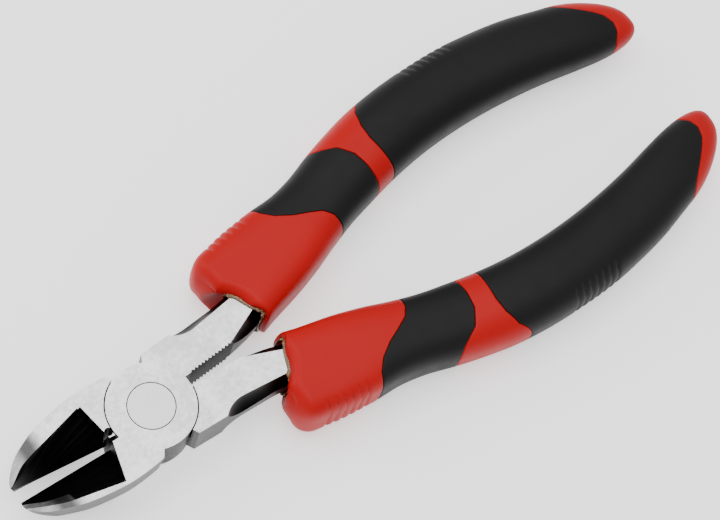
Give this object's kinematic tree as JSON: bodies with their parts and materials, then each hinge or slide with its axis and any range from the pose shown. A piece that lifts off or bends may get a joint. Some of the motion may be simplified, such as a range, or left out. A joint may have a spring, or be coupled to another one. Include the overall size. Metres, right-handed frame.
{
  "type": "diagonal cutting pliers",
  "caption": "Hand tool for snipping wire: two lap-jointed forged levers with bevelled diagonal cutting jaws and bowed two-tone cushioned grips.",
  "frame": {"origin": "on the pivot axis, in the back face of the joint", "axes": "+X along the tool from the pivot to the handle ends, +Y to the front lever's handle, +Z out of the front face of the joint"},
  "size_m": [0.1801, 0.067, 0.0158],
  "materials": {
    "forged_steel": "ground satin faces on a black forged body",
    "rivet_steel": "ground flush with the joint",
    "red_grip": "satin moulded plastic",
    "black_grip": "soft matt overmould",
    "adhesive": "clear brown glue line"
  },
  "bodies": {
    "back_half": {"back_lever": "forged_steel", "pivot_rivet": "rivet_steel", "lower_grip_core": "red_grip", "lower_front_sleeve": "black_grip", "lower_palm_sleeve": "black_grip", "lower_adhesive_bead": "adhesive"},
    "front_half": {"front_lever": "forged_steel", "upper_grip_core": "red_grip", "upper_front_sleeve": "black_grip", "upper_palm_sleeve": "black_grip", "upper_adhesive_bead": "adhesive"}
  },
  "joints": [
    {"name": "pivot", "type": "hinge", "parent": "back_half", "child": "front_half", "pos_m": [0, 0, 0.0055], "axis": [0, 0, 1], "range_deg": [-4.8, 42]}
  ]
}
